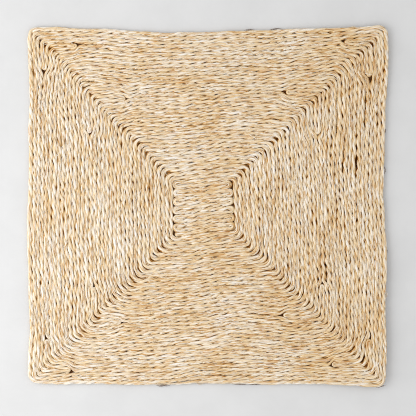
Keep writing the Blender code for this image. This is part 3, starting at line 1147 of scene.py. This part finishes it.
def cord_material():
    material = bpy.data.materials.new("straw_cord")
    k = Nodes(material)
    out = k.new("ShaderNodeOutputMaterial")
    shader = k.new("ShaderNodeBsdfPrincipled")
    k.link(shader.outputs[0], out.inputs["Surface"])
    uv = k.new("ShaderNodeUVMap", uv_map="cord")
    parts = k.new("ShaderNodeSeparateXYZ")
    k.link(uv.outputs[0], parts.inputs[0])
    u, v = parts.outputs[0], parts.outputs[1]
    ply = k.math("FLOOR", k.math("MULTIPLY", v, 2.0))
    apart = k.math("MULTIPLY", ply, 31.7)

    # across the strips, which lie nearly along the cord
    wound = k.new("ShaderNodeAttribute", attribute_name="wound").outputs["Fac"]
    across = k.math("MULTIPLY_ADD", u, -STRIP_TURN / LAY, v)
    across = k.math("MULTIPLY_ADD", wound, -STRIP_TURN, across)

    # tone of each ply, which changes as new strips of leaf are twisted in
    tone = k.noise(k.math("MULTIPLY_ADD", u, 19.0, apart), apart, 3.1, detail=3.0, roughness=0.7)
    strip = k.noise(
        k.math("MULTIPLY_ADD", u, 42.0, apart), k.math("MULTIPLY", across, 12.0), 8.6, detail=2.0, roughness=0.6
    )
    streak = k.noise(k.math("MULTIPLY", u, 130.0), k.math("MULTIPLY", across, 42.0), 1.7, detail=3.0, roughness=0.6)
    fibre = k.noise(k.math("MULTIPLY", u, 380.0), k.math("MULTIPLY", across, 130.0), 5.2, detail=2.0, roughness=0.6)
    orange = k.noise(
        k.math("MULTIPLY_ADD", u, 24.0, apart), k.math("MULTIPLY_ADD", across, 5.0, apart), 21.4, detail=2.0
    )
    age = k.new("ShaderNodeAttribute", attribute_name="age").outputs["Fac"]
    deep = k.new("ShaderNodeAttribute", attribute_name="deep").outputs["Fac"]
    shade = k.math("ADD", k.math("MULTIPLY", tone, 0.50), k.math("MULTIPLY_ADD", strip, 0.82, -0.155))
    shade = k.math("MULTIPLY_ADD", age, -0.022, shade)
    ramp = k.new("ShaderNodeValToRGB")
    ramp.color_ramp.interpolation = "EASE"
    stops = (
        (0.28, (0.450, 0.250, 0.078)),
        (0.38, (0.645, 0.450, 0.220)),
        (0.48, (0.745, 0.608, 0.408)),
        (0.62, (0.785, 0.742, 0.690)),
    )
    elements = ramp.color_ramp.elements
    while len(elements) < len(stops):
        elements.new(0.5)
    for element, (place, colour) in zip(elements, stops):
        element.position = place
        element.color = (*colour, 1.0)
    k.link(shade, ramp.inputs[0])
    colour = ramp.outputs[0]
    rust = k.span(k.math("MULTIPLY_ADD", age, 0.03, orange), 0.58, 0.72, 0.0, 0.55)
    colour = k.mix(rust, colour, (0.600, 0.340, 0.130))
    # browning of the leaf, together with the painted sheen and painted highlight carried in the same attribute
    tan = k.math("MULTIPLY_ADD", age, 0.55, 0.30, clamp=True)
    colour = k.mix(tan, colour, (0.925, 0.800, 0.570), "MULTIPLY")
    fine = k.math("ADD", k.math("MULTIPLY", streak, 0.6), k.math("MULTIPLY", fibre, 0.4))
    dark = k.span(fine, 0.32, 0.64, 0.74, 1.14)
    grey = k.new("ShaderNodeCombineColor")
    for socket, power in zip(grey.inputs, (1.0, 1.12, 1.35)):
        k.link(k.math("POWER", dark, power), socket)
    colour = k.mix(1.0, colour, grey.outputs[0], "MULTIPLY")
    # painted shade on the cord's sides
    painted_flank_shade = k.new("ShaderNodeAttribute", attribute_name="painted_flank_shade").outputs["Fac"]
    colour = k.mix(painted_flank_shade, colour, (0.925, 0.815, 0.590), "MULTIPLY")
    # painted shade: brown in the groove between the plies and low down between neighbouring cords, where shade
    # falls; the stray brown strips below are the leaf's own colour
    groove = k.math("ABSOLUTE", k.math("SINE", k.math("MULTIPLY", v, 2 * math.pi)))
    ragged = k.math("MULTIPLY_ADD", strip, 0.9, -0.45)
    groove = k.span(k.math("ADD", groove, ragged), -0.08, 0.36, 0.62, 0.0)
    groove = k.math("MULTIPLY", groove, k.span(deep, 0.0, 0.5, 0.30, 1.0))
    low = k.span(k.math("SUBTRACT", deep, k.math("MULTIPLY", ragged, 1.2)), 0.45, 1.05, 0.0, 0.90)
    stray = k.noise(k.math("MULTIPLY", u, 72.0), k.math("MULTIPLY", across, 18.0), 33.3, detail=1.5)
    stray = k.span(stray, 0.565, 0.70, 0.0, 0.85)
    pale = k.noise(k.math("MULTIPLY", u, 58.0), k.math("MULTIPLY", across, 17.0), 47.1, detail=1.5)
    pale = k.span(pale, 0.560, 0.68, 0.0, 0.75)
    brown = k.math("MAXIMUM", groove, low)
    colour = k.mix(k.math("MULTIPLY", pale, k.math("SUBTRACT", 1.0, brown)), colour, (0.805, 0.750, 0.675))
    brown = k.math("MAXIMUM", brown, stray)
    colour = k.mix(brown, colour, (0.640, 0.375, 0.120), "MULTIPLY")
    # painted shade, nearly black brown, in the eyes, at the holes' bottoms and in the deepest gaps; the darkest
    # edge strands take it too
    colour = k.mix(k.span(deep, 1.1, 2.0, 0.0, 0.96), colour, (0.190, 0.120, 0.070), "MULTIPLY")
    k.link(colour, shader.inputs["Base Color"])
    k.link(k.span(streak, 0.3, 0.7, 0.56, 0.34), shader.inputs["Roughness"])
    gloss = k.math("MULTIPLY_ADD", brown, -0.82, 0.82)
    gloss = k.math("MULTIPLY", gloss, k.math("SUBTRACT", 1.0, k.math("MULTIPLY", painted_flank_shade, 0.8)))
    k.link(gloss, shader.inputs["Specular IOR Level"])
    height = k.math("ADD", k.math("MULTIPLY", streak, 0.65), k.math("MULTIPLY", fibre, 0.35))
    bump = k.new("ShaderNodeBump")
    bump.inputs["Strength"].default_value = 0.85
    bump.inputs["Distance"].default_value = 0.00055
    k.link(height, bump.inputs["Height"])
    k.link(bump.outputs[0], shader.inputs["Normal"])
    return material


def floor_material():
    material = bpy.data.materials.new("pale_floor")
    k = Nodes(material)
    out = k.new("ShaderNodeOutputMaterial")
    shader = k.new("ShaderNodeBsdfPrincipled")
    place = k.new("ShaderNodeTexCoord").outputs["Object"]
    cloud = k.new("ShaderNodeTexNoise", noise_dimensions="3D")
    cloud.inputs["Scale"].default_value = 17.0
    cloud.inputs["Detail"].default_value = 5.0
    cloud.inputs["Roughness"].default_value = 0.62
    k.link(place, cloud.inputs["Vector"])
    grey = k.new("ShaderNodeCombineColor")
    tone = k.span(cloud.outputs["Fac"], 0.30, 0.70, 0.571, 0.601)
    for socket in grey.inputs:
        k.link(tone, socket)
    k.link(grey.outputs[0], shader.inputs["Base Color"])
    shader.inputs["Roughness"].default_value = 0.85
    shader.inputs["Specular IOR Level"].default_value = 0.2
    k.link(shader.outputs[0], out.inputs["Surface"])
    return material


# ---------------------------------------------------------------------------- build
def build():
    points, s, fields, angles = make_cord()
    rows = len(points)
    # cut into stretches of like size, so that none is too fine a mesh
    names = ("core_and_first_rings", "inner_rings", "middle_rings", "wide_rings", "outer_rings", "edge_rings")
    cuts = np.linspace(0, rows - 1, len(names) + 1).astype(int)
    material = cord_material()
    made = []
    for name, a, b in zip(names, cuts[:-1], cuts[1:]):
        obj = cord_piece(name, points, s, fields, a, b, angles)
        obj.data.materials.append(material)
        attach(obj, "root")
        made.append((obj, float(s[b] - s[a])))
    strips = Strips()
    loose_strips(strips, points, s, surface_height(points))
    edge_wisps(strips)
    painted_hole_shade(strips)
    loose = strips.piece("loose_strips")
    loose.data.materials.append(material)
    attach(loose, "root")
    for obj, _ in made:
        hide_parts("mat")
    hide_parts("mat")
    print(
        "cord", round(float(s[-1]), 2), "m,", rows, "rows;",
        [sum(p.loop_total - 2 for p in o.data.polygons) for o in [o for o, _ in made] + [loose]],
        "triangles",
    )
    return made


def stage():
    floor = bpy.data.meshes.new("floor")
    floor.from_pydata([(-4, -4, 0), (4, -4, 0), (4, 4, 0), (-4, 4, 0)], [], [(0, 1, 2, 3)])
    floor.materials.append(floor_material())
    obj = bpy.data.objects.new("floor", floor)
    bpy.context.scene.collection.objects.link(obj)

    def area(name, place, aim, size, size_y, power, colour=(1, 1, 1)):
        light = bpy.data.lights.new(name, "AREA")
        light.shape = "RECTANGLE"
        light.size, light.size_y = size, size_y
        light.energy = power
        light.color = colour
        lamp = bpy.data.objects.new(name, light)
        lamp.location = place
        direction = np.array(aim, float) - np.array(place, float)
        lamp.rotation_euler = Vector(direction).to_track_quat("-Z", "Y").to_euler()
        bpy.context.scene.collection.objects.link(lamp)
        return lamp

    area("key", (-0.80, -0.11, 0.55), (0, 0, 0), 0.95, 0.95, 7.8)
    world = bpy.data.worlds.new("soft_room")
    world.use_nodes = True
    background = world.node_tree.nodes["Background"]
    background.inputs["Color"].default_value = (1.0, 1.0, 1.0, 1.0)
    background.inputs["Strength"].default_value = 0.94
    bpy.context.scene.world = world

    camera = bpy.data.cameras.new("camera")
    camera.sensor_width = 36.0
    camera.lens = 100.0
    view = bpy.data.objects.new("camera", camera)
    width = 416 * PIXEL
    distance = width * camera.lens / camera.sensor_width
    centre = to_metres(np.array([[208.0, 208.0]]))[0]
    view.location = (centre[0], centre[1], 0.0035 + distance)
    view.rotation_euler = (0, 0, 0)
    bpy.context.scene.collection.objects.link(view)
    bpy.context.scene.camera = view
    scene = bpy.context.scene
    scene.cycles.filter_width = 1.0
    scene.view_settings.view_transform = "Standard"
    scene.view_settings.look = "None"
    scene.view_settings.exposure = 0.0
    scene.view_settings.gamma = 1.0


build()
stage()
